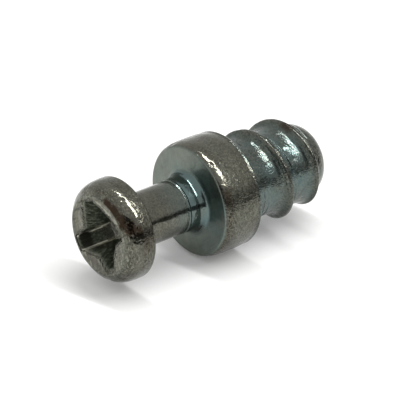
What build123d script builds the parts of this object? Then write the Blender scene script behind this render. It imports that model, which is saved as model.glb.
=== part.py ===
"""Screw-in dowel: a cold-forged steel connector bolt with a round cross-recess head,
a slim neck for a cam, a thick barrel-shaped collar that stops on the board, and a
coarse rolled thread that cuts its own way into a plain 5 mm hole.

It is one piece of steel, so it is one solid. It is built standing, with its axis
on +Z and its flat head face at zero, then laid down on the collar with the axis
level and the head towards -X. Sizes are in millimetres and angles in degrees."""

import os

from build123d import *

os.makedirs("parts", exist_ok=True)

# Head
face_radius = 2.45            # the flat of the head, inside its worn edge
head_radius = 3.18
head_height = 1.88            # from the flat face to the flat underside
rim_height = 1.00             # the domed rim, from the face to where the head is widest
rim_middle_radius = 2.96      # the rim passes through this ring halfway round
rim_middle_height = 0.36
head_underside_round = 0.16

# Neck, the stretch that the cam grips
neck_radius = 1.68
neck_length = 5.02            # from the head's underside to the collar's front face
neck_top_round = 0.20
boss_length = 1.10            # the neck swells a little just before the collar
boss_swell = 0.09
boss_foot_round = 0.50

# Collar
collar_radius = 3.65
collar_length = 2.80
collar_land_start = 0.95      # the widest band, measured from the front face
collar_land_length = 1.70
collar_front_drop = 0.10      # how much smaller than the band each end is
collar_back_drop = 0.10
barrel_share = 0.25           # a round barrel has lost a quarter of its drop halfway out
collar_edge_round = 0.30      # the worn front edge
collar_back_round = 0.12

# Shank and thread
blank_radius = 2.62           # the plain stretch that the rolling dies leave
blank_length = 0.90
blank_foot_round = 0.30
root_start = 1.90             # from the collar to where the shank has narrowed to the root
thread_root_radius = 2.44
shank_length = 6.75           # from the collar's back face to the flat tip
tip_radius = 1.55
tip_round_length = 1.45       # length of the rounded point
thread_height = 0.62
thread_pitch = 2.26
front_flank_length = 1.22     # the long hollow flank faces the head
front_flank_hollow = 0.12     # how far the flank sinks below a straight one
back_flank_length = 0.44
crest_width = 0.22
crest_drop = 0.06             # how far the crest's two edges lie below its top
first_crest = 2.27            # from the collar's back face to the crest, read at ...
crest_angle = 157.0           # ... this roll
thread_seat = 0.12            # how far the flanks run on into the shank
thread_foot_depth = 0.80      # the thread's foot reaches this far under the root
run_in_start = 0.90           # the thread starts to rise this far behind the collar
run_in_length = 1.20
run_out_length = 1.30         # and sinks back into the point over this length
run_out_end = 0.45            # what is left between the end of the thread and the tip

# Cross recess
recess_reach = 2.12           # from the axis to the end of a wing, at the face
recess_depth = 1.65
recess_angle = 63.0           # roll of the cross
wing_width = 0.98
wing_floor_reach = 1.00
wing_floor_width = 0.70
pocket_radius = 1.27          # the round middle of the cross, at the face
pocket_floor_radius = 0.62
pocket_point = 0.35           # the punch's point leaves a cone in the floor
worn_angle = 198.0            # a slipping driver has torn away one corner of the cross
worn_reach = 1.78             # from the axis to the torn edge, at the face
worn_depth = 0.75
worn_width = 2.30
worn_foot_share = 0.8         # the tear ends at this share of the pocket's radius

seam_roll = 2.95              # the turned surface starts here, beside the line that meets the ground

# Stations along the axis, each measured from the head's flat face
collar_front = head_height + neck_length
collar_back = collar_front + collar_length
land_start = collar_front + collar_land_start
land_end = land_start + collar_land_length
tip_end = collar_back + shank_length
tip_round_start = tip_end - tip_round_length
front_end_radius = collar_radius - collar_front_drop
back_end_radius = collar_radius - collar_back_drop

# The thread on its own: its section follows a helix, and a turned sleeve trims
# both ends so that it rises out of the shank and sinks back into the point.
helix_start = collar_back + first_crest - thread_pitch
crest_radius = thread_root_radius + thread_height
with BuildPart() as thread:
    with BuildLine() as lead:
        Helix(thread_pitch, tip_end - run_out_end - helix_start, thread_root_radius,
              center=(0, 0, helix_start))
    ridge_plane = Plane(origin=lead.line @ 0, x_dir=(1, 0, 0), z_dir=lead.line % 0)
    crest_edge = thread_height - crest_drop
    foot_y = front_flank_length + thread_seat
    heel_y = -back_flank_length - thread_seat / 2
    with BuildSketch(ridge_plane) as ridge:
        with BuildLine():
            flank = ThreePointArc(
                (-thread_seat / 2, foot_y),
                ((crest_edge - thread_seat / 2) / 2 - front_flank_hollow, (foot_y + crest_width / 2) / 2),
                (crest_edge, crest_width / 2),
            )
            crest = ThreePointArc(flank @ 1, (thread_height, 0), (crest_edge, -crest_width / 2))
            Polyline(
                crest @ 1, (-thread_seat, heel_y), (-thread_foot_depth, heel_y),
                (-thread_foot_depth, foot_y), flank @ 0,
            )
        make_face()
    sweep(path=lead.line, is_frenet=True)

    with BuildSketch(Plane.XZ):
        with BuildLine():
            Polyline(
                (0, collar_back + run_in_start),
                (thread_root_radius, collar_back + run_in_start),
                (crest_radius + thread_seat, collar_back + run_in_start + run_in_length),
                (crest_radius + thread_seat, tip_end - run_out_end - run_out_length),
                (tip_radius, tip_end - run_out_end),
                (0, tip_end - run_out_end),
                close=True,
            )
        make_face()
    revolve(axis=Axis.Z, mode=Mode.INTERSECT)

# The turned body, from the head to the tip, with its thread and its cross recess
with BuildPart() as upright:
    with BuildSketch(Plane.XZ.rotated((0, 0, seam_roll))) as turned:
        with BuildLine():
            rim = ThreePointArc(
                (face_radius, 0), (rim_middle_radius, rim_middle_height), (head_radius, rim_height)
            )
            neck = Polyline(
                rim @ 1, (head_radius, head_height), (neck_radius, head_height),
                (neck_radius, collar_front - boss_length),
                (neck_radius + boss_swell, collar_front), (front_end_radius, collar_front),
            )
            rise = ThreePointArc(
                neck @ 1,
                (collar_radius - collar_front_drop * barrel_share, (collar_front + land_start) / 2),
                (collar_radius, land_start),
            )
            land = Line(rise @ 1, (collar_radius, land_end))
            fall = ThreePointArc(
                land @ 1,
                (collar_radius - collar_back_drop * barrel_share, (land_end + collar_back) / 2),
                (back_end_radius, collar_back),
            )
            shank = Polyline(
                fall @ 1, (blank_radius, collar_back), (blank_radius, collar_back + blank_length),
                (thread_root_radius, collar_back + root_start), (thread_root_radius, tip_round_start),
            )
            point = TangentArc(shank @ 1, (tip_radius, tip_end), tangent=(0, 1))
            Polyline(point @ 1, (0, tip_end), (0, 0), rim @ 0)
        make_face()
        corners = turned.vertices()
        fillet(corners.sort_by_distance((head_radius, head_height, 0))[0], head_underside_round)
        fillet(corners.sort_by_distance((neck_radius, head_height, 0))[0], neck_top_round)
        fillet(corners.sort_by_distance((neck_radius + boss_swell, collar_front, 0))[0], boss_foot_round)
        fillet(corners.sort_by_distance((front_end_radius, collar_front, 0))[0], collar_edge_round)
        fillet(corners.sort_by_distance((back_end_radius, collar_back, 0))[0], collar_back_round)
        fillet(corners.sort_by_distance((blank_radius, collar_back, 0))[0], blank_foot_round)
    revolve(axis=Axis.Z)
    add(thread.part, rotation=(0, 0, crest_angle))
    for turn in (0, 90):
        with BuildSketch(Plane.XY):
            Rectangle(recess_reach * 2, wing_width, rotation=recess_angle + turn)
        with BuildSketch(Plane.XY.offset(recess_depth)):
            Rectangle(wing_floor_reach * 2, wing_floor_width, rotation=recess_angle + turn)
        loft(mode=Mode.SUBTRACT)
    with BuildSketch(Plane.XZ):
        with BuildLine():
            Polyline(
                (0, 0), (pocket_radius, 0), (pocket_floor_radius, recess_depth),
                (0, recess_depth + pocket_point), close=True,
            )
        make_face()
    revolve(axis=Axis.Z, mode=Mode.SUBTRACT)
    with BuildSketch(Plane.XZ.rotated((0, 0, worn_angle))):
        with BuildLine():
            Polyline(
                (0, 0), (worn_reach, 0), (pocket_radius * worn_foot_share, worn_depth),
                (0, worn_depth), close=True,
            )
        make_face()
    extrude(amount=worn_width / 2, both=True, mode=Mode.SUBTRACT)

# Laid down: the axis turns from +Z to +X, the middle of its length comes over the
# origin, and the widest band of the collar touches the ground.
with BuildPart() as screw_in_dowel:
    with Locations(Location((-tip_end / 2, 0, collar_radius), (0, 90, 0))):
        add(upright.part)

screw_in_dowel.part.label = "screw_in_dowel"
export_step(screw_in_dowel.part, "parts/screw_in_dowel.step")
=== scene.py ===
# %% [markdown]
# # Screw-in dowel
#
# A small steel connector: a round head with a cross recess, a slim neck for a cam, a
# barrel-shaped collar and a coarse thread. It lies on its collar, the axis level, the head
# towards -X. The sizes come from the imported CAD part, which stays as the fixed frame; this
# lesson gives it a finer skin, a worn zinc finish, and light.

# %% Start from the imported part
import math

import bpy
import numpy as np
from mathutils import Matrix, Vector


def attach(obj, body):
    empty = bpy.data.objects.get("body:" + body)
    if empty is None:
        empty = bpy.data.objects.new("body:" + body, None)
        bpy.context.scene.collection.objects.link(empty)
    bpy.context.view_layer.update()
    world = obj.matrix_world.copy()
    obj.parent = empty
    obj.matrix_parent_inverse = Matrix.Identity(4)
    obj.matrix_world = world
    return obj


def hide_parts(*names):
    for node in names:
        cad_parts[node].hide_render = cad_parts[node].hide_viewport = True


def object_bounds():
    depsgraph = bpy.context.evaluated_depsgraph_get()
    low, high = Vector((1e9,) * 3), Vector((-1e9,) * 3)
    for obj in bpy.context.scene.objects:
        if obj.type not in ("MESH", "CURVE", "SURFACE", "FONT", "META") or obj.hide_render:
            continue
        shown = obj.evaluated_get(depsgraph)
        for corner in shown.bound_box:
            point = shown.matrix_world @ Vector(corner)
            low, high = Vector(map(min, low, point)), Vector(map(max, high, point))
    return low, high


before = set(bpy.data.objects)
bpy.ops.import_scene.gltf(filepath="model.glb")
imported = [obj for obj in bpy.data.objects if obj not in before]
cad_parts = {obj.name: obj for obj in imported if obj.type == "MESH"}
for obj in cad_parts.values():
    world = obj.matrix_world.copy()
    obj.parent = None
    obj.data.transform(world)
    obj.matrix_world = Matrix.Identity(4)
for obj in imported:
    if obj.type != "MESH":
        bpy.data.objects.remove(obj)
bounds_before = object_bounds()
print("the CAD part measures", bounds_before)

# %% [markdown]
# ## Sizes
#
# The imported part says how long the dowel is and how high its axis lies. On the real one
# every ring comes from a punch, a header or a pair of dies, so the other sizes are radii and
# stations: distances along the axis from the flat of the head, all in millimetres. The
# collar is drawn a hair smaller than the CAD one, so the worn skin stays inside the frame.

# %% Sizes in millimetres
LENGTH = round(1000 * (bounds_before[1][0] - bounds_before[0][0]), 2)
HALF_LENGTH = LENGTH / 2
AXIS_HEIGHT = round(1000 * bounds_before[1][2] / 2, 2)
SKIN_GAP = 0.006              # how far the collar's skin stays inside the CAD part
COLLAR_RADIUS = AXIS_HEIGHT - SKIN_GAP
HEAD_RADIUS = 3.178
NECK_RADIUS = 1.68
BLANK_RADIUS = 2.62           # the plain stretch behind the collar
ROOT_RADIUS = 2.44            # the shank between the turns of the thread

HEAD_BACK = 1.88
COLLAR_FRONT = 6.90
COLLAR_BACK = 9.70
ROOT_START = 11.60
POINT_START = 15.00
print("length", LENGTH, "mm, axis", AXIS_HEIGHT, "mm over the ground, collar radius", COLLAR_RADIUS)

# %% [markdown]
# ## A turned profile with rounded corners
#
# A surface of revolution needs only its profile. A die is drawn as straight lines with
# rounded corners, and so is this: each corner is a station, a radius and the rounding that
# wear or the die has given it, so a worn edge is one number. One function makes the path.

# %% From corners to a path
def rounded(corners, step=0.05, turn=5.0):
    """A path through corners (station, radius, rounding). Each corner is replaced by the arc
    that touches both of its sides, cut short where a side is too short for it: the arc
    starts rounding * tan(bend / 2) before the corner, and its centre lies on the line that
    halves the corner. An arc turns by no more than the degrees given from point to point,
    and no two points are farther apart than the step given."""
    room = 0.48               # an arc may take this share of a side
    corners = np.array(corners, float)
    points, rounding = corners[:, :2], corners[:, 2]
    path = [points[:1]]
    for before, here, after, radius in zip(points[:-2], points[1:-1], points[2:], rounding[1:-1]):
        back, ahead = before - here, after - here
        a, b = np.linalg.norm(back), np.linalg.norm(ahead)
        back, ahead = back / a, ahead / b
        bend = math.pi - math.acos(np.clip(back @ ahead, -1, 1))
        reach = min(radius * math.tan(bend / 2), room * a, room * b)
        radius = reach / math.tan(bend / 2)
        middle = (back + ahead) / np.linalg.norm(back + ahead)
        centre = here + middle * radius / math.cos(bend / 2)
        across = (back * reach + here - centre) / radius
        steps = max(3, math.ceil(math.degrees(bend) / turn), math.ceil(radius * bend / step))
        t = np.linspace(0, bend, steps + 1)
        path.append(centre + radius * (np.cos(t)[:, None] * across - np.sin(t)[:, None] * back))
    path.append(points[-1:])
    path = np.concatenate(path)
    gaps = np.linalg.norm(np.diff(path, axis=0), axis=1)
    parts = np.maximum(1, np.ceil(gaps / step)).astype(int)
    place = np.repeat(np.arange(len(gaps)), parts)
    share = (np.arange(parts.sum()) - np.repeat(np.cumsum(parts) - parts, parts)) / parts[place]
    path = path[place] + (path[place + 1] - path[place]) * share[:, None]
    return np.concatenate([path, points[-1:]])


def normals_of(path):
    """The outward side of a profile at each of its points, as (along, out): the direction
    from the point before to the point after, turned by a right angle."""
    run = np.gradient(path, axis=0)
    run /= np.linalg.norm(run, axis=1, keepdims=True) + 1e-12
    return np.stack([-run[:, 1], run[:, 0]], axis=1)


square_corner = rounded([(0, 0, 0), (0, 1, 0.2), (1, 1, 0)])
print("two 1 mm sides and a corner rounded by 0.2 mm make", len(square_corner), "points")

# %% [markdown]
# ## From station, radius and roll to a mesh
#
# Every piece is a grid: rows run along the profile and columns run round the axis. The last
# column is joined to the first, so there is no seam, and each end is closed by a fan round
# one point. What the finish needs to know about a spot, such as how far it lies in the
# recess, is stored on the same grid as attributes, which the material reads later.

# %% Placing and meshing
def placed(station, radius, roll):
    """World metres of a point: x is its station less half the length, y is radius times the
    sine of the roll, and z is the axis's height less radius times the cosine. So the axis
    lies level, and roll turns from straight down towards +Y."""
    x = station - HALF_LENGTH + 0 * roll
    y = radius * np.sin(roll)
    z = AXIS_HEIGHT - radius * np.cos(roll)
    return np.stack(np.broadcast_arrays(x, y, z), axis=-1) / 1000


def grid_mesh(name, points, **attributes):
    """A closed mesh on a grid of points, rows by columns by three. Each quad joins two rows
    and two columns, the last column going back to the first; the first and the last row
    are each closed by a fan of triangles round the mean of the row. An attribute is one
    number, or a grid of them."""
    rows, columns = points.shape[:2]
    index = np.arange(rows * columns).reshape(rows, columns)
    right = np.roll(index, -1, axis=1)
    quads = np.stack([index[:-1], right[:-1], right[1:], index[1:]], axis=-1).reshape(-1, 4)
    first_pole, last_pole = np.full(columns, index.size), np.full(columns, index.size + 1)
    fans = np.concatenate([np.stack([first_pole, right[0], index[0]], axis=-1),
                           np.stack([last_pole, index[-1], right[-1]], axis=-1)])
    poles = np.stack([points[0].mean(axis=0), points[-1].mean(axis=0)])
    vertices = np.concatenate([points.reshape(-1, 3), poles])
    loops = np.concatenate([quads.ravel(), fans.ravel()])
    starts = np.concatenate([np.arange(len(quads)) * 4, quads.size + np.arange(len(fans)) * 3])
    mesh = bpy.data.meshes.new(name)
    mesh.vertices.add(len(vertices))
    mesh.vertices.foreach_set("co", vertices.astype(np.float32).ravel())
    mesh.loops.add(len(loops))
    mesh.loops.foreach_set("vertex_index", loops.astype(np.int32))
    mesh.polygons.add(len(starts))
    mesh.polygons.foreach_set("loop_start", starts.astype(np.int32))
    mesh.polygons.foreach_set("use_smooth", np.ones(len(starts), bool))
    mesh.update(calc_edges=True)
    mesh.validate()
    for key, values in attributes.items():
        values = np.broadcast_to(values, (rows, columns)).ravel()
        values = np.concatenate([values, values[-1:], values[-1:]])
        layer = mesh.attributes.new(key, "FLOAT", "POINT")
        layer.data.foreach_set("value", values.astype(np.float32))
    piece = bpy.data.objects.new(name, mesh)
    bpy.context.scene.collection.objects.link(piece)
    print(name, len(vertices), "vertices,", 2 * len(quads) + len(fans), "triangles")
    return piece


print("the middle of the head's face lies at", placed(0.0, 0.0, 0.0), "m")

# %% [markdown]
# ## Knocks
#
# The dowel has rattled about in a bag with others. Each knock is a shallow dent with its
# own place (station and roll), size and depth. The small ones are drawn from a seeded list,
# most of them on the edges that stand out; the few large ones are listed one by one. They could
# be sculpted, but as a list of bell curves each can be moved or left out by itself.

# %% Where the knocks are
HEAD_DENTS = [  # station, roll in degrees, length along the axis, width round it, depth
    (0.32, 150, 0.42, 0.60, 0.020),
    (0.60, 183, 0.22, 0.30, 0.020),
    (0.72, 208, 0.24, 0.20, 0.027),
    (0.30, 232, 0.34, 0.44, 0.030),
    (0.36, 250, 0.20, 0.26, 0.030),
    (0.70, 242, 0.22, 0.22, 0.030),
    (0.75, 227, 0.18, 0.20, 0.015),
    (1.05, 236, 0.26, 0.20, 0.020),
    (0.30, 275, 0.36, 0.48, 0.040),
    (0.80, 292, 0.36, 0.40, 0.030),
    (0.30, 318, 0.36, 0.46, 0.040),
    (0.45, 350, 0.42, 0.52, 0.050),
    (0.30, 24, 0.36, 0.52, 0.050),
    (0.70, 60, 0.40, 0.44, 0.040),
    (0.40, 104, 0.40, 0.60, 0.025),
]
COLLAR_DENTS = [  # the last one is a gouge along the collar
    (7.10, 150, 0.22, 0.40, 0.040),
    (7.04, 194, 0.16, 0.30, 0.040),
    (7.18, 210, 0.20, 0.22, 0.035),
    (7.10, 240, 0.30, 0.40, 0.020),
    (7.06, 262, 0.32, 0.50, 0.020),
    (7.08, 300, 0.32, 0.60, 0.020),
    (7.06, 334, 0.32, 0.60, 0.020),
    (8.60, 253, 0.60, 0.16, 0.025),
]
ALL_ROUND = (0, 360)


def scattered(seed, count, stations, rolls, size, depth):
    """A list of small knocks, drawn evenly over a stretch of stations and rolls, from half
    to the whole of the given size and depth."""
    draw = np.random.default_rng(seed)
    share = draw.uniform(0.5, 1.0, (count, 3))
    place, turn = draw.uniform(*stations, count), draw.uniform(*rolls, count)
    length, width, deep = size * share[:, 0], size * share[:, 1], depth * share[:, 2]
    return np.stack([place, turn, length, width, deep], axis=1).tolist()


HEAD_KNOCKS = HEAD_DENTS + [
    *scattered(1, 110, stations=(0.05, 0.9), rolls=ALL_ROUND, size=0.18, depth=0.008),
    *scattered(2, 60, stations=(0.1, 1.3), rolls=(230, 264), size=0.17, depth=0.012),
]
COLLAR_KNOCKS = COLLAR_DENTS + [  # the front edge, the back edge and the band between them
    *scattered(3, 120, stations=(6.98, 7.45), rolls=ALL_ROUND, size=0.20, depth=0.014),
    *scattered(4, 90, stations=(9.40, 9.68), rolls=ALL_ROUND, size=0.12, depth=0.025),
    *scattered(5, 200, stations=(7.5, 9.5), rolls=ALL_ROUND, size=0.16, depth=0.006),
]
SHANK_KNOCKS = scattered(6, 230, stations=(9.9, 16.0), rolls=ALL_ROUND, size=0.36, depth=0.022)
print(len(HEAD_KNOCKS), "knocks on the head,", len(COLLAR_KNOCKS), "on the collar,",
      len(SHANK_KNOCKS), "on the shank")

# %% [markdown]
# ## How deep the skin sinks
#
# Two things move the skin inwards: the knocks, and a slow ripple that stands for the uneven
# surface that forging leaves. Both are depths in millimetres, worked out for the whole
# grid at once, so they can be added up before the skin is moved along its normal.

# %% Knocks and ripple
KNOCK_EDGE = 1.9              # a knock has faded to a few hundredths at its stated size
KNOCK_END = 1.3               # and is left out past this many sizes along the axis
WAVES = [  # waves round the axis, radians per millimetre along it
    (3, 1.7), (5, 2.9), (8, 4.6), (11, 6.1), (14, 3.3), (19, 8.2), (23, 5.7), (29, 9.4),
]


def past(roll, degrees):
    """How far each roll lies past one given in degrees, the short way round, in radians."""
    return (roll - math.radians(degrees) + math.pi) % (2 * math.pi) - math.pi


def knocked(knocks, station, radius, roll):
    """How far the skin sinks at each point: the sum of the knocks, each its depth times e to
    the minus square of the distance along the axis over its length and of the distance
    round it over its width."""
    depth = np.zeros(np.broadcast(station, radius, roll).shape)
    for place, turn, length, width, deep in knocks:
        rows = np.nonzero(np.abs(station[:, 0] - place) < KNOCK_END * length)[0]
        along = (station[rows] - place) / length * KNOCK_EDGE
        round_it = past(roll, turn) * radius[rows] / width * KNOCK_EDGE
        depth[rows] += deep * np.exp(-along ** 2 - round_it ** 2)
    return depth


def ripple(station, roll, seed, height):
    """A slow unevenness, as a depth: the height, less a third of a sum of sine waves along
    and round the axis, each with its own phase, and never less than nothing. Each wave goes
    round a whole number of times, so it closes on itself."""
    phases = np.random.default_rng(seed).uniform(0, 2 * math.pi, len(WAVES))
    total = sum(np.sin(k * roll + w * station + p) / (1 + 0.12 * k)
                for (k, w), p in zip(WAVES, phases))
    return height * np.clip(1 - total / 3, 0, None)


waves_seen = ripple(np.zeros((1, 1)), np.radians(np.arange(360)), seed=4, height=1.0)
print("round the flat of the head a ripple of 1 mm would go from",
      round(waves_seen.min(), 2), "to", round(waves_seen.max(), 2), "mm")

# %% [markdown]
# ## Where a finish lies
#
# The finish changes along the axis and round it: a film of passivate is thick in a corner,
# and a rim is rubbed on one side. Painting it by hand would need an image. Three small
# functions are enough instead: a broken line, a bell curve round the axis, and soft blots.

# %% Broken lines, bells and blots
def between(value, *points):
    """A broken line through (value, result) pairs, level beyond its ends."""
    return np.interp(value, *zip(*points))


def bell(roll, middle, width, power=2):
    """One at a roll in degrees, falling off to both sides: e to the minus (distance / width)
    to a power, with both in radians. It stops at roll zero, which lies underneath."""
    return np.exp(-((roll - math.radians(middle)) / width) ** power)


def stained(stains, station, radius, roll):
    """How strongly a spot is marked: the strongest of a few soft blots, each an ellipse on
    the skin (station, radius, roll, length, width, strength) that is level in its middle and
    falls off as e to the minus fourth power of the distance."""
    share = np.zeros(np.broadcast(station, radius, roll).shape)
    for place, out, turn, length, width, strength in stains:
        along = ((station - place) ** 2 + (radius - out) ** 2) / length ** 2
        round_it = past(roll, turn) * radius / width
        share = np.maximum(share, strength * np.exp(-2 * along ** 2 - 2 * round_it ** 4))
    return share


SHADE_AND_GRIT_ROLL, SHADE_AND_GRIT_WIDTH, SHADE_AND_GRIT_GAIN = 300, 0.9, 0.6      # painted shade: the lower side of the head and collar is made darker, and coarser
SCUFFED_ROLL = 246            # and a narrow strip of the collar and shank is coarser still
print("a film that fades out over 2 mm is", between(1.0, (0, 1), (2, 0)), "thick halfway")

# %% [markdown]
# ## The neck and the collar
#
# The header leaves a slim neck with a fine raised ring, which swells a little before the
# collar and turns up into its flat front face through a generous fillet. The collar is a
# barrel: its front edge is worn round, its widest band has the small knocks of use, and a
# shallow groove runs just inside its back edge. It is one profile, turned round the axis.

# %% Neck and collar: the shape
COLLAR_CORNERS = [  # station, radius, rounding
    (1.40, 0.00, 0),               # starts inside the head
    (1.40, 1.55, 0.02),
    (1.70, NECK_RADIUS, 0.05),
    (5.64, 1.675, 0.05),           # the fine ring
    (5.72, 1.702, 0.03),
    (5.81, 1.676, 0.08),
    (6.48, 1.745, 0.50),           # the swell, then the fillet
    (COLLAR_FRONT, 1.93, 0.42),
    (COLLAR_FRONT, 3.42, 0.25),    # the worn front edge
    (7.06, 3.540, 0.40),
    (7.36, 3.622, 1.6),
    (7.85, COLLAR_RADIUS, 4.0),    # the widest band
    (8.95, COLLAR_RADIUS, 3.0),
    (9.46, 3.580, 0.20),           # the groove and the sharp back edge
    (9.60, 3.612, 0.05),
    (9.67, 3.57, 0.04),
    (COLLAR_BACK, 3.48, 0.06),
    (COLLAR_BACK, BLANK_RADIUS, 0.28),
    (10.10, 2.59, 0.05),           # ends inside the shank
    (10.10, 0.00, 0),
]
COLLAR_COLUMNS = 290
NECK_SHARE = 0.12             # the sheltered neck has this share of the knocks and ripple, ...
NECK_SHELTER = 1.9            # ... which grows to all a quarter of a millimetre past this radius
PLAIN_NECK = (2.0, 5.5)       # needs only every third row

roll = np.arange(COLLAR_COLUMNS) / COLLAR_COLUMNS * 2 * math.pi
collar_path = rounded(COLLAR_CORNERS, step=0.06)
plain = (collar_path[:, 0] > PLAIN_NECK[0]) & (collar_path[:, 0] < PLAIN_NECK[1])
collar_path = collar_path[~plain | (np.arange(len(plain)) % 3 == 0)]
side = normals_of(collar_path)
s, r = collar_path[:, :1], collar_path[:, 1:]
sink = knocked(COLLAR_KNOCKS, s, r, roll) + ripple(s, roll, 4, 0.003)
sink *= np.clip((r - NECK_SHELTER) * 4, NECK_SHARE, 1)
collar_skin = placed(s - side[:, :1] * sink, r - side[:, 1:] * sink, roll)
print(len(collar_path), "rows; deepest knock on the collar", round(sink.max(), 3), "mm")

# %% [markdown]
# ## The finish of the neck and the collar
#
# Six numbers describe the finish of a spot, and every piece has them: how thick the
# blue-green passivate lies; how coarse and dark the rubbed plate is, with painted shade on the
# lower side; how dull it shines (`matt`); how many fine scratches cross it (`scored`); a stain,
# brown above zero, scraped bare below it, and a painted highlight far below it; and how far down
# in the cross a spot lies (`recess`), where painted shade darkens it. On the collar's face the
# film is thick in the fillet and has the rings that the header turned, and it is made thicker
# on the near side, which paints the neck's reflection there as a teal cast.

# %% Neck and collar: the finish
FACE_EDGE = 6.95              # the flat face gives way to the worn edge here
FACE_GRAIN, FACE_MATT = 0.30, 0.92
FACE_FILM = ((1.9, 1.0), (2.6, 0.8), (3.5, 0.5))      # radius, share
SIDE_FILM = ((3.6, 0.0), (5.6, 0.4), (5.8, 0.9), (6.95, 0.9), (7.0, 0.0), (9.4, 0.0),
             (9.68, 0.8))     # station, share, as in the next three
SIDE_GRAIN = ((5.6, 0.35), (5.8, 0.15), (6.95, 0.25), (7.35, 0.25), (7.6, 1.0), (9.6, 1.0),
              (9.7, 0.4))
SIDE_MATT = ((6.7, 0.0), (6.9, 0.45), (7.05, 0.0), (7.4, 0.0), (7.7, 0.3), (9.3, 0.3),
             (9.5, 0.0))
SIDE_SCORED = ((1.8, 0.2), (5.6, 0.2), (5.8, 0.1), (6.89, 0.1), (6.91, 0.25), (7.5, 0.45),
               (9.6, 0.45))
RING_GAPS = (0.27, 0.16)      # millimetres between two rings of each kind
RING_SHARE = 0.22             # how much the rings change the film
TEAL_REFLECTION_ROLL = 255              # painted reflection: the film on the face is made thickest on this side, a teal cast where the neck is mirrored
POLISHED_ROLL = 192           # the front edge is polished here and coarse elsewhere
POLISHED_END = 7.6

on_face = (s < FACE_EDGE) & (r > 1.95)
on_collar = s > FACE_EDGE
rings = (np.sin(r / RING_GAPS[0] * 2 * math.pi + 1.2 * np.sin(roll + 0.5))
         + np.sin(r / RING_GAPS[1] * 2 * math.pi + 0.7 * np.sin(2 * roll)))
# the film is thick in the fillet; a painted reflection makes it thicker towards the near side
face_film_and_reflection = between(r, *FACE_FILM) * (0.45 + 0.75 * bell(roll, TEAL_REFLECTION_ROLL, 0.9))
face_film_and_reflection *= 1 + RING_SHARE * rings * np.clip((r - 2.1) * 3, 0, 1)
film = np.where(on_face, np.clip(face_film_and_reflection, 0, 1), between(s, *SIDE_FILM))

grain = np.where(on_face, FACE_GRAIN, between(s, *SIDE_GRAIN))
polished = bell(roll, POLISHED_ROLL, 0.75, power=4)
grain = np.where(on_collar & (s < POLISHED_END), np.maximum(grain, 1 - polished), grain)
# painted shade: the lower side is made darker and coarser
grain *= (1 + SHADE_AND_GRIT_GAIN * bell(roll, SHADE_AND_GRIT_ROLL, SHADE_AND_GRIT_WIDTH)
          + 0.9 * bell(roll, SCUFFED_ROLL, 0.22) * on_collar)
matt = np.where(on_face, FACE_MATT, between(s, *SIDE_MATT))
scored = between(s, *SIDE_SCORED)
COLLAR_BROWN = [  # station, radius, roll, length, width, strength
    (8.3, 3.65, 172, 0.5, 0.5, 0.4),
    (9.2, 3.65, 286, 0.4, 0.7, 0.4),
    (7.25, 3.60, 247, 0.30, 0.60, 0.6),
]
stain = stained(COLLAR_BROWN, s, r, roll)

off_axis = slice(1, -1)       # the first and last rows lie on the axis: the fans replace them
collar = grid_mesh("neck_and_collar", collar_skin[off_axis], recess=0.0, film=film[off_axis],
                   grain=grain[off_axis], matt=matt[off_axis], stain=stain[off_axis],
                   scored=scored[off_axis])

# %% [markdown]
# ## The cross recess
#
# A punch drives the cross into the head: four wings, uneven from wear, that narrow towards
# their ends and lean in towards a slightly pointed floor. The last driver has cut its own
# straight slot along one wing, and drivers that slipped have torn two of the corners. The
# mouth is one closed line round the axis at each depth, so the recess is a grid too, and no
# boolean cut is needed: the radius is the farthest that any of the shapes reaches that way.

# %% The outline of the recess
RECESS_DEPTH = 1.65
RECESS_ROLL = 63
POCKET_RADIUS = 0.55          # at the floor, where the wings meet
ARM_FLOOR_REACH = 1.15        # how far the wings and the slot reach at the floor
WING_FLARE = 0.34             # what a wing's half width loses per millimetre outwards
WING_TAPER = 0.62             # the share of its width that a wing loses on the way down
TEAR_TAPER = 0.65
SLOT_ROLL = 56
SLOT_REACH = 2.36
SLOT_HALF_WIDTH = 0.46
WINGS = [  # roll past that of the cross, reach at the face, half width to its left and right
    (0, 2.36, 1.40, 0.98),
    (90, 2.17, 1.30, 1.15),
    (180, 2.34, 1.18, 1.20),
    (270, 2.12, 1.24, 1.04),
]
TEARS = [  # roll in degrees, reach at the face, reach at its foot, half width, depth
    (202, 1.84, 1.10, 1.25, 0.75),
    (284, 1.58, 1.10, 0.80, 0.50),
]


def arm(roll, turn, reach, left, right, flare=0.0):
    """Distance from the axis to the outline of an arm that points to a roll in degrees. With
    a the angle from its middle, its square end lies at reach / cos a, and its side at half
    width / (|sin a| + flare cos a). The nearer counts, and behind the axis there is none."""
    angle = roll - math.radians(turn)
    along, across = np.cos(angle), np.sin(angle)
    half_width = np.where(across < 0, left, right)
    end = reach / np.maximum(along, 1e-6)
    edge = half_width / np.maximum(np.abs(across) + flare * np.maximum(along, 0), 1e-6)
    return np.where(along > 0, np.minimum(end, edge), 0)


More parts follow.
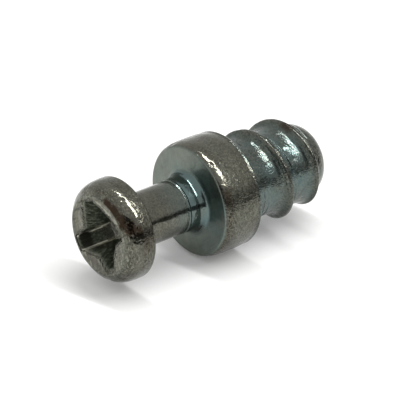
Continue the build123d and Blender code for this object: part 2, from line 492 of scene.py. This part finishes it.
def cross_outline(depth, roll):
    """Distance from the axis to the wall of the recess at one depth: the largest of the
    pocket, the four wings, the slot and the tears. Reach and width change in proportion to
    the depth, and a tear ends at its own foot."""
    share = depth / RECESS_DEPTH
    out = POCKET_RADIUS + 0 * (roll + depth)
    for turn, longest, left, right in WINGS:
        reach = longest - (longest - ARM_FLOOR_REACH) * share
        kept = 1 - WING_TAPER * share
        wing = arm(roll, RECESS_ROLL + turn, reach, left * kept, right * kept, WING_FLARE)
        out = np.maximum(out, wing)
    reach = SLOT_REACH - (SLOT_REACH - ARM_FLOOR_REACH) * share
    out = np.maximum(out, arm(roll, SLOT_ROLL, reach, SLOT_HALF_WIDTH, SLOT_HALF_WIDTH))
    for turn, face_reach, foot_reach, width, foot in TEARS:
        reach = face_reach + (foot_reach - face_reach) * depth / foot
        narrower = width * (1 - TEAR_TAPER * np.minimum(depth / foot, 1))
        tear = arm(roll, turn, reach, narrower, narrower)
        out = np.maximum(out, np.where(depth <= foot, tear, 0))
    return out


for depth in (0.0, RECESS_DEPTH):
    outline = cross_outline(depth, np.radians(np.arange(360)))
    print("the cross reaches", round(outline.max(), 2), "mm at a depth of", depth, "mm")

# %% [markdown]
# ## The floor, the wall and the lip of the recess
#
# The rows go from the middle of the floor out to the wall, up the wall, and over the lip on
# to the face. Slipping drivers leave the lip ragged: its teeth are products of sine waves
# that go round a whole number of times, coarse ones for chips and fine ones for burrs.

# %% Rows of the recess
HEAD_COLUMNS = 480
WALL_ROWS = 46
WALL_TOP = 0.05
FLOOR_POINT = 0.30            # the punch's point leaves a cone this deep in the floor
POINT_RADIUS = 0.62
FLOOR_RISE = 0.03             # the floor's last ring turns up into the wall
JAG_DEPTH = 0.25              # the teeth run down the wall and fade over this depth
LIP_LIMIT = 2.40              # the chips never reach past this radius
LIP = np.array([  # station, how far past the mouth, share of the chips
    (0.10, 0.0, 0.1),
    (0.04, 0.012, 0.6),
    (0.01, 0.035, 0.9),
    (0.0, 0.06, 1.0),
])


def ragged(roll, height, waves, fine_height, fine_waves):
    """How far a ragged edge stands out: the size of a product of sine waves round the axis,
    given as (count, phase), plus the size of one finer wave."""
    product = 1.0
    for count, phase in waves:
        product = product * np.sin(count * roll + phase)
    return height * np.abs(product) + fine_height * np.abs(np.sin(fine_waves * roll))


roll = np.arange(HEAD_COLUMNS) / HEAD_COLUMNS * 2 * math.pi
jags = ragged(roll, 0.08, [(13, 0.5), (29, 1.3)], 0.03, 61)
chips = ragged(roll, 0.16, [(7, 1.0), (23, 0.4), (58, 0.0)], 0.05, 37)

share = np.linspace(0.04, 1, 12)[:, None]
floor_r = share * cross_outline(np.array([[RECESS_DEPTH]]), roll)
floor_s = RECESS_DEPTH + FLOOR_POINT * np.clip(1 - floor_r / POINT_RADIUS, 0, 1)
floor_s[-1:] -= FLOOR_RISE
wall_s = np.linspace(RECESS_DEPTH - FLOOR_RISE, WALL_TOP, WALL_ROWS)[:-2, None]
wall_r = cross_outline(wall_s, roll) + jags * np.exp(-wall_s / JAG_DEPTH)
mouth = cross_outline(np.array([[0.0]]), roll) + jags
lip_s = LIP[:, :1]
lip_r = np.minimum(mouth + LIP[:, 1:2] + chips * LIP[:, 2:], LIP_LIMIT)
print("the mouth of the recess reaches", round(mouth.min(), 2), "to", round(mouth.max(), 2), "mm")

# %% [markdown]
# ## The face and the rim of the head
#
# Round the cross is a flat ring, uneven where the metal has been pushed about, and then the
# domed rim: a profile like the collar's, with the knocks on it. The flat ring has to start
# on the ragged lip and end on a circle, so its rows go from the one to the other.

# %% Rows of the face and the rim
FACE_RADIUS = 2.36            # the flat ring ends and the rim's profile starts
FACE_ROWS = 13
DENT = 0.012                  # the mean and the swing of the face's unevenness ...
DENT_RISE = 6                 # ... which rises from the lip over a sixth of a millimetre
HEAD_CORNERS = [  # station, radius, rounding
    (0.0, 2.35, 0),
    (0.0, 2.50, 0.35),
    (0.36, 2.955, 0.9),
    (0.86, 3.150, 1.8),
    (1.30, HEAD_RADIUS, 1.5),
    (HEAD_BACK, HEAD_RADIUS, 0.16),
    (HEAD_BACK, NECK_RADIUS, 0.20),
    (2.35, NECK_RADIUS, 0.02),     # ends inside the neck
    (2.40, 1.62, 0),
]

share = np.linspace(0, 1, FACE_ROWS + 2)[1:-1, None]
face_r = lip_r[-1:] + (FACE_RADIUS - lip_r[-1:]) * share
uneven = np.sin(5 * face_r * np.cos(roll) + 2) * np.sin(4 * face_r * np.sin(roll) + 1)
face_s = DENT + DENT * uneven + knocked(HEAD_KNOCKS, 0.02 + 0 * face_r, face_r, roll)
face_s *= np.clip((face_r - lip_r[-1:]) * DENT_RISE, 0, 1)

rim_path = rounded(HEAD_CORNERS)[1:]           # the flat ring stands for its first point
side = normals_of(rim_path)
s, r = rim_path[:, :1], rim_path[:, 1:]
sink = knocked(HEAD_KNOCKS, s, r, roll) + ripple(s, roll, 2, 0.004)
rim_s, rim_r = s - side[:, :1] * sink, r - side[:, 1:] * sink
print("deepest knock on the rim", round(sink.max(), 3), "mm")

# %% [markdown]
# ## The finish of the head
#
# The recess has painted shade: it darkens from a quarter of a millimetre down, and is near
# black at the end of one wing. Painted highlights run along the slot's two ridges. On the face
# a slipped driver has scraped bright patches beside a long brown one that runs over the rim.

# %% The head: finish and mesh
SLOT_GLINT_WIDTH = 0.060           # of the painted highlight line on each side of the slot
SLOT_GLINT_PUSH = 3.0              # far below zero, so that the material paints a highlight there
FLOOR_SHADE = 1.20             # painted shade in the recess: past 1, so that the material can paint near-black shade as well
LIP_GRAIN, LIP_MATT = 0.9, 0.2
RIM_FILM = ((1.86, 0.0), (HEAD_BACK, 0.6))            # station, share, as in the next three
RIM_GRAIN = ((0.0, 0.8), (0.3, 0.8), (0.5, 0.25), (0.95, 0.25), (1.2, 1.1), (1.8, 1.1),
             (1.9, 0.15))
RIM_MATT = ((0.0, 0.4), (0.4, 0.0), (1.0, 0.0), (1.4, 0.2), (1.8, 0.2), (1.9, 0.0))
HEAD_SCORED = ((0.0, 1.0), (0.4, 0.8), (0.9, 0.4), (1.85, 0.4), (1.9, 0.1))
HEAD_BROWN = [  # station, radius, roll, length, width, strength
    (0.08, 2.62, 200, 0.22, 0.50, 1.5), (0.10, 2.66, 214, 0.26, 0.60, 1.6),
    (0.16, 2.70, 230, 0.32, 0.55, 1.6), (0.40, 2.92, 241, 0.42, 0.55, 1.4),
    (0.80, 3.12, 247, 0.36, 0.45, 1.1), (1.30, 3.17, 262, 0.60, 0.80, 0.45),
    (0.02, 1.90, 18, 0.30, 0.60, 0.5), (0.02, 2.04, 190, 0.05, 0.45, 0.9),
    (0.02, 2.20, 200, 0.05, 0.45, 0.9), (0.02, 2.03, 214, 0.05, 0.35, 0.9),
]
HEAD_SCRAPED = [
    (0.0, 2.12, 182, 0.20, 0.60, 0.8), (0.0, 2.12, 205, 0.18, 0.55, 0.8),
    (0.0, 2.28, 229, 0.18, 0.40, 0.8), (0.0, 1.75, 98, 0.35, 0.50, 0.2),
    (0.0, 2.10, 290, 0.45, 0.90, 0.1),
]
# painted shade: the end of one wing is made near black
DEEP_SHADE_SPOT = [(0.35, 2.20, 61, 0.75, 0.80, 1.0)]


def by_zone(*values):
    """One grid from five values or rows of values: floor, wall, lip, face and rim."""
    zones = (floor_r, wall_r, lip_r, face_r, rim_r)
    return np.concatenate([value + 0 * zone for value, zone in zip(values, zones)])


all_s = by_zone(floor_s, wall_s, lip_s, face_s, rim_s)
all_r = by_zone(floor_r, wall_r, lip_r, face_r, rim_r)
# painted shade in the recess: full on the floor, and on the wall from a quarter of a millimetre down
recess = by_zone(FLOOR_SHADE, np.clip(wall_s / JAG_DEPTH, 0, 1), 0, 0, 0)
film = by_zone(0, 0, 0, 0, between(s, *RIM_FILM))
grain = by_zone(1, 1, LIP_GRAIN, LIP_GRAIN, between(s, *RIM_GRAIN))
# painted shade: the lower side of the head is made darker and coarser
grain *= 1 + SHADE_AND_GRIT_GAIN * bell(roll, SHADE_AND_GRIT_ROLL, SHADE_AND_GRIT_WIDTH)
matt = by_zone(1, 1, LIP_MATT, LIP_MATT, between(s, *RIM_MATT))
scored = between(all_s, *HEAD_SCORED) * (recess == 0)

# painted highlights: bright lines along both sides of the slot, down in the recess, set far below
# zero in the stain
angle = roll - math.radians(SLOT_ROLL)
beside_slot = (np.abs(all_r * np.sin(angle)) - SLOT_HALF_WIDTH) / SLOT_GLINT_WIDTH
slot_glint_lines = np.exp(-beside_slot ** 2) * (all_r * np.cos(angle) > 0.3)
stain = stained(HEAD_BROWN, all_s, all_r, roll) - stained(HEAD_SCRAPED, all_s, all_r, roll)
stain -= SLOT_GLINT_PUSH * slot_glint_lines * (recess > 0) * (all_s < RECESS_DEPTH - FLOOR_RISE)
# painted shade: near black at the end of one wing
recess = recess + stained(DEEP_SHADE_SPOT, all_s, all_r, roll) * recess
head = grid_mesh("head", placed(all_s, all_r, roll), recess=recess, film=film, grain=grain,
                 matt=matt, stain=stain, scored=scored)

# %% [markdown]
# ## The thread
#
# Rolling dies raise a coarse, saw-shaped thread: a long hollow flank towards the head and a
# short steep one towards the point. A screw modifier could sweep its section, but the ends
# would be blunt. Here its crest climbs one pitch a turn, so the height over the root depends
# only on how far a spot is from the nearest crest, and a sleeve round the shank lets the
# ridge rise out of the metal and die away in the point.

# %% The section of the thread
PITCH = 2.26
FIRST_CREST = 2.27            # from the collar's back face to the crest, read at ...
CREST_ROLL = 157              # ... this roll
RIDGE_HEIGHT = 0.62
RIDGE = np.array([  # offset from the crest, height over the root
    (-1.34, 0.015), (-1.10, 0.040), (-0.85, 0.082), (-0.66, 0.125), (-0.50, 0.175),
    (-0.40, 0.235), (-0.30, 0.345), (-0.21, 0.49), (-0.14, 0.573), (-0.03, 0.603),
    (0.03, 0.608), (0.09, 0.58), (0.15, 0.48), (0.27, 0.24), (0.50, -0.12),
])


def ridge(offset):
    """Height of the thread over the root at an offset from its crest, positive towards the
    point: between two points of the section, the cubic that has their heights and slopes."""
    x, y = RIDGE[:, 0], RIDGE[:, 1]
    slope = np.gradient(y, x)
    k = np.clip(np.searchsorted(x, offset) - 1, 0, len(x) - 2)
    width = x[k + 1] - x[k]
    t = np.clip((offset - x[k]) / width, 0, 1)
    return ((1 + 2 * t) * (1 - t) ** 2 * y[k] + t * (1 - t) ** 2 * width * slope[k]
            + t * t * (3 - 2 * t) * y[k + 1] + t * t * (t - 1) * width * slope[k + 1])


def softer(a, b, blend):
    """The larger of a and b, or the smaller for a negative blend, with the corner between
    them rounded: half of a + b plus or minus the root of (a - b) squared + blend squared,
    less the blend's own size."""
    return (a + b + math.copysign(1, blend) * (np.sqrt((a - b) ** 2 + blend ** 2) - abs(blend))) / 2


print("the thread is", PITCH, "mm a turn and", round(2 * (ROOT_RADIUS + ridge(0.03)), 2), "mm across")

# %% [markdown]
# ## The threaded shank
#
# The core is a turned profile, from the plain blank down to the root and the rounded point.
# The thread is blended into it with a small fillet. The knocks fade out before the tip, and
# the ripple is strongest on the crests. The film keeps to the valleys, because the crests
# have been rubbed, and thins out towards the point.

# %% Threaded shank
SHANK_CORNERS = [  # station, radius, rounding
    (9.60, BLANK_RADIUS, 0),
    (10.60, BLANK_RADIUS, 0.6),
    (ROOT_START, ROOT_RADIUS, 1.5),
    (POINT_START, ROOT_RADIUS, 0.5),
    (15.60, 2.395, 2.0),
    (16.15, 2.10, 1.6),
    (LENGTH, 1.62, 0.12),
    (LENGTH, 1.2, 0),
]
SHANK_COLUMNS = 360
SHANK_ROWS = 258
SHANK_ENDS = (COLLAR_BACK + 0.04, LENGTH - 0.01)      # just off the collar, short of the tip
SLEEVE = ((10.60, 2.46), (11.80, 3.21), (14.70, 3.21), (16.00, 1.55))  # station, radius
LONG_SIDE = 1.5               # offsets from the crest start this far towards the head
THREAD_FOOT = 0.10            # rounding where the thread meets the core
SLEEVE_EDGE = 0.06            # rounding where the sleeve trims it
TIP_START = 15.9              # knocks fade out over the half millimetre before this
TIP_STATION = LENGTH - 0.002
TIP_RADII = np.array([[1.50], [1.40], [0.9], [0.3]])
SHANK_FILM = ((9.7, 0.7), (14.6, 0.65), (15.4, 0.25), (16.2, 0.1))    # station, share
SHANK_BROWN = [(14.3, 2.98, 190, 0.40, 0.55, 0.8)]

roll = np.arange(SHANK_COLUMNS) / SHANK_COLUMNS * 2 * math.pi
s = np.linspace(*SHANK_ENDS, SHANK_ROWS)[:, None]
core = rounded(SHANK_CORNERS, step=0.02)
core = core[core[:, 0] < LENGTH - 0.001]
core_r = np.interp(s, core[:, 0], core[:, 1])
crest_at = COLLAR_BACK + FIRST_CREST - PITCH
crest_at = crest_at + PITCH * (roll - math.radians(CREST_ROLL)) / (2 * math.pi)
offset = (s - crest_at + LONG_SIDE) % PITCH - LONG_SIDE
thread_r = softer(ROOT_RADIUS + ridge(offset), between(s, *SLEEVE), -SLEEVE_EDGE)
shank_r = softer(core_r, thread_r, THREAD_FOOT)
height = np.clip((shank_r - ROOT_RADIUS) / RIDGE_HEIGHT, 0, 1)
shank_r = shank_r - knocked(SHANK_KNOCKS, s, shank_r, roll) * np.clip((TIP_START - s) * 2, 0, 1)
shank_r = shank_r - ripple(s, roll, 6, 0.010) * height - ripple(s, roll, 7, 0.003)

s = np.concatenate([s, 0 * TIP_RADII + TIP_STATION])
shank_r = np.concatenate([shank_r, TIP_RADII + 0 * roll])
height = np.concatenate([height, 0 * TIP_RADII + 0 * roll])
film = (1.0 - 0.8 * height) * between(s, *SHANK_FILM)
grain = (0.95 + 0.15 * height) * (1 + 1.3 * bell(roll, SCUFFED_ROLL, 0.26))
stain = stained(SHANK_BROWN, s, shank_r, roll)
shank = grid_mesh("threaded_shank", placed(s, shank_r, roll), recess=0.0, film=film,
                  grain=grain, matt=0.0, stain=stain, scored=0.15)

# %% [markdown]
# ## Hand the pieces to the frame
#
# The dowel is one rigid body, so the three pieces of skin ride on it together and stand for
# its one CAD node, which is hidden.

# %% Ride and replace
pieces = [head, collar, shank]
for piece in pieces:
    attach(piece, "root")
    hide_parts("screw_in_dowel")
print(len(pieces), "pieces stand for the CAD dowel")

# %% [markdown]
# ## Blue-passivated zinc on cold-forged steel
#
# The dowel is headed and rolled from wire, tumbled, electroplated with a few micrometres of
# zinc and dipped in a blue passivate. That gives a cool grey metal with a silky shine: bright
# where it faces a lamp, dull in between, with a faint blue-green film that is thickest in
# inner corners, and a warmer grey where handling has rubbed it. The material is built like
# the finish itself, as coats that lie one over another, each with a share of the surface.

# %% Helpers for every material
def linear(code):
    """The linear colour of an sRGB hex code: each part over 255, divided by 12.92 near black
    and otherwise raised to the power of 2.4."""
    c = np.array([int(code[i:i + 2], 16) for i in (1, 3, 5)]) / 255
    c = np.where(c <= 0.04045, c / 12.92, ((c + 0.055) / 1.055) ** 2.4)
    return (*c.tolist(), 1.0)


def add(tree, kind, inputs, out=0, **settings):
    """Add a node with its settings, and return one of its outputs, by number or by name. Each
    input, by number or by name, gets a value, or a link where it is given a socket."""
    node = tree.nodes.new("ShaderNode" + kind)
    for key, value in settings.items():
        setattr(node, key, value)
    for key, value in inputs.items():
        if isinstance(value, bpy.types.NodeSocket):
            tree.links.new(node.inputs[key], value)
        else:
            node.inputs[key].default_value = value
    return node.outputs[out] if node.outputs else None


def new_material(name):
    """A material with an empty node tree."""
    material = bpy.data.materials.new(name)
    material.use_nodes = True
    material.node_tree.nodes.clear()
    return material, material.node_tree


zinc, tree = new_material("blue-passivated zinc-plated steel")
place = add(tree, "TexCoord", {}, "Object")
in_recess, film, grain, matt, stain, scored = (
    add(tree, "Attribute", {}, "Fac", attribute_name=name)
    for name in ("recess", "film", "grain", "matt", "stain", "scored"))
print("reading", zinc.name, "by place and six attributes")

# %% [markdown]
# ## Patterns in real sizes
#
# Every pattern is a noise with a real size in millimetres, stretched between two levels to
# set how much of the surface it covers. Scratches are the same noise, pulled out nine times
# as long and turned to the way the driver slipped. The crystals of zinc and the finest
# scratches are only a few micrometres wide, too fine to see here, so both are drawn coarser.

# %% Patterns
SCRATCH_STRETCH = (1, 9, 1)
DRAWN_SCALE = (0.12, 1, 1)    # about eight times as long along the axis
along_axis = add(tree, "Mapping", {"Vector": place, "Scale": DRAWN_SCALE})
upward, sideways = (
    add(tree, "Mapping", {"Vector": place, "Rotation": (math.radians(tilt), 0, 0),
                          "Scale": SCRATCH_STRETCH}, vector_type="TEXTURE")
    for tilt in (75, -40))
PATTERNS = {  # size in mm, detail, distortion, read at, from low, from high, to low, to high
    "patches": (0.60, 4, 0, place, 0.36, 0.64, 0, 1),          # plate of uneven thickness
    "mottled": (0.26, 3, 0, place, 0.36, 0.64, 0, 1),          # where tumbling has rubbed it
    "speckle": (0.10, 1, 0, place, 0.46, 0.62, 0, 1),          # zinc crystals, drawn coarser
    "clouds": (1.70, 2, 0, place, 0.38, 0.60, 0.45, 1),        # the film's slow change
    "light_lines": (0.08, 2, 0.6, upward, 0.52, 0.64, 0, 0.75),      # scratches, drawn coarser
    "dark_lines": (0.10, 2, 0.6, sideways, 0.52, 0.64, 0, 0.75),     # and older, dirty ones
    "drawn_wall": (0.10, 2, 0, along_axis, 0.45, 0.70, 0, 1),  # lines that the punch drew
    "streaks": (0.14, 4, 1, place, 0.30, 0.46, 0, 1),          # breaks up the stains
    "spots": (0.50, 3, 0, place, 0.35, 0.65, 0, 0.06),         # smears in the shine
}
pattern = {}                  # a Map Range's inputs 0 to 4 are the value and these four levels
for name, (size, detail, distortion, where, low, high, to_low, to_high) in PATTERNS.items():
    raw = add(tree, "TexNoise", {"Vector": where, "Scale": 1000 / size, "Detail": detail,
                                 "Distortion": distortion})
    pattern[name] = add(tree, "MapRange", {0: raw, 1: low, 2: high, 3: to_low, 4: to_high})
print(len(pattern), "patterns from", min(p[0] for p in PATTERNS.values()), "mm up")

# %% [markdown]
# ## The coats of colour
#
# First the plate itself, in patches of two greys, warmer and darker where it is coarse and
# where shade is painted on the lower side. Then the film with its painted teal reflection, the
# scratches, the painted shade of the recess, the brown, the scraped metal and the painted
# highlights on the slot's ridges. One loop lays each coat over the ones before it, so a coat
# is one line: its share and colour.

# %% Coats
# A colour Mix takes its share at input 0 and its colours at 6 and 7, and gives output 2.
TONES = {  # the pattern that turns the first colour into the second
    "plate": ("patches", "#706f66", "#5f6159"),
    "tumbled": ("mottled", "#4c4a42", "#6c6a5f"),
    "matt": ("patches", "#767a70", "#6c6f65"),
    # painted shade: the dark olive of the recess, with lines that the punch drew
    "recess wall": ("drawn_wall", "#3a3e33", "#62675b"),
}
tone = {}
for name, (where, first, second) in TONES.items():
    tone[name] = add(tree, "Mix", {0: pattern[where], 6: linear(first), 7: linear(second)}, 2,
                     data_type="RGBA")

speckled = add(tree, "Math", {0: grain, 1: 0.7, 2: 0.15}, operation="MULTIPLY_ADD")
# real scrapes, and on the slot's ridges a painted highlight
scrapes_and_glints = add(tree, "Math", {0: stain, 1: -0.9}, operation="MULTIPLY")
# painted highlight: the slot's ridges, where the stain is far below zero in the recess
painted_slot_glint = add(tree, "Math", {0: stain, 1: in_recess}, operation="MULTIPLY")
painted_slot_glint = add(tree, "MapRange", {0: painted_slot_glint, 1: -1.0, 2: -2.4})
# painted shade: past 1.2 the recess turns near black
painted_deep_shade = add(tree, "MapRange", {0: in_recess, 1: 1.2, 2: 1.8})
COATS = [  # share, its strength, colour
    (grain, 0.8, linear("#59574e")),                              # warm grey, coarse plate, and painted shade on the lower side
    (grain, 0.45, tone["tumbled"]),                               # and its blotches
    (pattern["speckle"], speckled, linear("#33322d")),            # dark between the crystals
    (matt, 1.0, tone["matt"]),                                    # silky, unrubbed plate
    (film, pattern["clouds"], linear("#5e7272")),                 # blue-green passivate, and a painted teal reflection on the collar's face
    (scored, pattern["light_lines"], linear("#8f8f83")),          # fresh scratches
    (scored, pattern["dark_lines"], linear("#3f4038")),           # and dirty ones
    (in_recess, 1.0, tone["recess wall"]),                        # painted shade in the recess, dark olive
    (stain, pattern["streaks"], linear("#3a3128")),               # brown, tarnished
    (scrapes_and_glints, pattern["streaks"], linear("#9c9a8e")),             # light, scraped metal, and painted highlight on the slot's ridges
    (painted_slot_glint, 1.0, linear("#d2d0c2")),                       # painted highlight along the slot's ridges
    (painted_deep_shade, 1.0, linear("#24241f")),                              # painted shade, near black, deep in the recess
]
colour = tone["plate"]
for share, strength, over in COATS:
    share = add(tree, "Math", {0: share, 1: strength}, operation="MULTIPLY")
    colour = add(tree, "Mix", {0: share, 6: colour, 7: over}, 2, data_type="RGBA")
print(len(COATS), "coats over the plate")

# %% [markdown]
# ## Shine and fine relief
#
# Plated steel mirrors softly. It is all metal, with a roughness of 0.1 where it is bright
# and about 0.35 where the passivate dries matt. What breaks up its highlights is relief too
# fine for the mesh. Three bumps stand for it, each a noise with a real width and depth:
# grit, drawn lines and soft dimples.

# %% Shine and fine relief
MATT_ROUGHNESS, BRIGHT_ROUGHNESS = 0.24, 0.10
BUMPS = (  # width in mm, read at, amount, strength, depth in mm
    (0.09, place, grain, 0.45, 0.03),          # grit of the coarse plate, drawn coarser
    (0.07, along_axis, 1.0, 0.12, 0.02),       # lines from drawing, drawn coarser
    (0.45, place, 1.0, 0.30, 0.06),            # dimples from tumbling
)
dulled = add(tree, "Math", {0: matt, 1: MATT_ROUGHNESS, 2: BRIGHT_ROUGHNESS},
             operation="MULTIPLY_ADD")
roughness = add(tree, "Math", {0: pattern["spots"], 1: dulled}, operation="ADD")
relief = {}
for width, where, amount, strength, depth in BUMPS:
    raw = add(tree, "TexNoise", {"Vector": where, "Scale": 1000 / width, "Detail": 2})
    raised = add(tree, "Math", {0: raw, 1: amount}, operation="MULTIPLY")
    relief["Normal"] = add(tree, "Bump", {"Height": raised, "Strength": strength,
                                          "Distance": depth / 1000, **relief})
surface = add(tree, "BsdfPrincipled", {"Base Color": colour, "Roughness": roughness,
                                       "Metallic": 1.0, **relief})
add(tree, "OutputMaterial", {"Surface": surface})
for piece in pieces:
    piece.data.materials.append(zinc)
print(zinc.name, "has", len(tree.nodes), "nodes")

# %% [markdown]
# ## The camera
#
# A small part is best seen through a long lens from about ten lengths away, which keeps its
# circles true. The camera looks down on the head and the near side. It comes before the
# cards, because one of them is placed by its directions.

# %% Camera
ELEVATION, AZIMUTH = math.radians(27.5), math.radians(49.9)
EYE_DISTANCE = 166.2          # mm back from the middle of the collar's front face
EYE_RIGHT, EYE_UP = 0.718, 0.08                       # and mm beside and over the line to it
LENS = 248.6

forward = Vector((math.cos(ELEVATION) * math.cos(AZIMUTH),
                  math.cos(ELEVATION) * math.sin(AZIMUTH), -math.sin(ELEVATION)))
right = forward.cross(Vector((0, 0, 1))).normalized()
up = right.cross(forward)
centre = Vector((COLLAR_FRONT - HALF_LENGTH, 0, AXIS_HEIGHT))
eye = (centre - EYE_DISTANCE * forward + EYE_RIGHT * right + EYE_UP * up) / 1000
camera_data = bpy.data.cameras.new("camera")
camera_data.lens = LENS
camera_data.clip_start = 0.01
camera = bpy.data.objects.new("camera", camera_data)
camera.matrix_world = Matrix.Translation(eye) @ Matrix((right, up, -forward)).transposed().to_4x4()
bpy.context.scene.collection.objects.link(camera)
bpy.context.scene.camera = camera
bpy.context.scene.view_settings.view_transform = "Standard"
print("the camera stands at", tuple(round(v, 3) for v in eye), "m")

# %% [markdown]
# ## The floor
#
# The dowel lies on a large sheet of white card: paper over board, which scatters light and
# mirrors nothing. Lit evenly, it looks pale grey, so a small lift is added where the camera
# or a mirror-like surface sees it. It adds no light to matt ones, so the shadow stays.

# %% Floor
FLOOR_HALF = 1.2              # metres
FLOOR_LIFT = 0.10


def stage_mesh(name, vertices, faces, material):
    """A plain mesh that belongs to the studio and not to the object."""
    mesh = bpy.data.meshes.new(name)
    mesh.from_pydata(vertices, [], faces)
    mesh.materials.append(material)
    piece = bpy.data.objects.new(name, mesh)
    bpy.context.scene.collection.objects.link(piece)
    return piece


card, card_tree = new_material("white card")
rays = add(card_tree, "LightPath", {}).node.outputs
seen = 0.0
for kind in ("Is Camera Ray", "Is Glossy Ray", "Is Transmission Ray"):
    seen = add(card_tree, "Math", {0: rays[kind], 1: seen}, operation="ADD", use_clamp=True)
glow = add(card_tree, "Math", {0: seen, 1: FLOOR_LIFT}, operation="MULTIPLY")
paper = add(card_tree, "BsdfDiffuse", {"Color": linear("#e8e8e8")})
lift = add(card_tree, "Emission", {"Color": (1, 1, 1, 1), "Strength": glow})
both = add(card_tree, "AddShader", {0: paper, 1: lift})
add(card_tree, "OutputMaterial", {"Surface": both})
square = [(x * FLOOR_HALF, y * FLOOR_HALF, 0) for x, y in ((-1, -1), (1, -1), (1, 1), (-1, 1))]
floor = stage_mesh("floor", square, [(0, 1, 2, 3)], card)
print("floor", floor.dimensions[:2], "m")

# %% [markdown]
# ## Two dark cards
#
# Without something dark to mirror, polished metal looks like plastic. A low card bent round
# the near side draws the one dark line along the neck, and a larger one behind the camera
# darkens what faces it. Both are matt, dark grey card. Only reflections see them: they cast
# no shadow and aren't in view.

# %% Dark cards
ARC_DISTANCE = 0.032          # metres from the middle of the dowel, as all sizes here
ARC_HEIGHT = 0.0095
ARC_TURN = np.radians(np.linspace(-135, -22, 31))
BACK_DISTANCE = 0.36
BACK_SIZE = (0.13, 0.10)      # half its width and half its height
BACK_SHIFT = (0.15, -0.2)     # as shares of those

flag, flag_tree = new_material("black card")
black = add(flag_tree, "BsdfDiffuse", {"Color": linear("#585858")})
add(flag_tree, "OutputMaterial", {"Surface": black})
count = len(ARC_TURN)
line = ARC_DISTANCE * np.stack([np.cos(ARC_TURN), np.sin(ARC_TURN), 0 * ARC_TURN], axis=1)
arc = np.concatenate([line, line + (0, 0, ARC_HEIGHT)])
sides = [(i, i + 1, count + i + 1, count + i) for i in range(count - 1)]
near_card = stage_mesh("black_card", arc.tolist(), sides, flag)
across, upright = right * BACK_SIZE[0], up * BACK_SIZE[1]
middle = -forward * BACK_DISTANCE + across * BACK_SHIFT[0] + upright * BACK_SHIFT[1]
corners = [tuple(middle + x * across + y * upright) for x, y in ((-1, -1), (1, -1), (1, 1), (-1, 1))]
back_card = stage_mesh("dark_card_behind_camera", corners, [(0, 1, 2, 3)], flag)
for piece in (near_card, back_card):
    piece.visible_camera = piece.visible_diffuse = piece.visible_shadow = False
print("dark cards", ARC_DISTANCE, "m and", BACK_DISTANCE, "m away")

# %% [markdown]
# ## The room and the strip lamp
#
# The room is pale and even, so a colour renders about as it is written. One long strip lamp
# crosses over the dowel: it is what draws the thin bright lines along every edge that faces
# up, and the narrower the strip, the thinner the lines.

# %% Room and lamp
ROOM = (0.82, 0.82, 0.81, 1)
STRIP_PLACE = (0.064, -0.070, 0.300)
STRIP_WIDTH, STRIP_LENGTH = 0.018, 0.42
STRIP_TURN = -78
STRIP_RADIANCE = 36.0
AIM = (0, 0, 0.0036)          # on the dowel's axis, in metres

world = bpy.data.worlds.new("pale room")
world.use_nodes = True
world.node_tree.nodes["Background"].inputs["Color"].default_value = ROOM
world.node_tree.nodes["Background"].inputs["Strength"].default_value = 1.0
bpy.context.scene.world = world


def lamp(name, place, width, length, turn, radiance):
    """A strip lamp at a place in metres, aimed at the dowel's axis. Its length lies level,
    turned from +X by so many degrees, and its power is the radiance times pi times its
    area."""
    data = bpy.data.lights.new(name, "AREA")
    data.shape, data.size, data.size_y = "RECTANGLE", length, width
    data.energy = radiance * math.pi * length * width
    piece = bpy.data.objects.new(name, data)
    z = (Vector(place) - Vector(AIM)).normalized()
    x = Vector((math.cos(math.radians(turn)), math.sin(math.radians(turn)), 0))
    x = (x - z * x.dot(z)).normalized()
    turned = Matrix((x, z.cross(x), z)).transposed().to_4x4()
    piece.matrix_world = Matrix.Translation(place) @ turned
    bpy.context.scene.collection.objects.link(piece)
    print(name, "power", round(data.energy, 3), "W")


lamp("strip", STRIP_PLACE, STRIP_WIDTH, STRIP_LENGTH, STRIP_TURN, STRIP_RADIANCE)
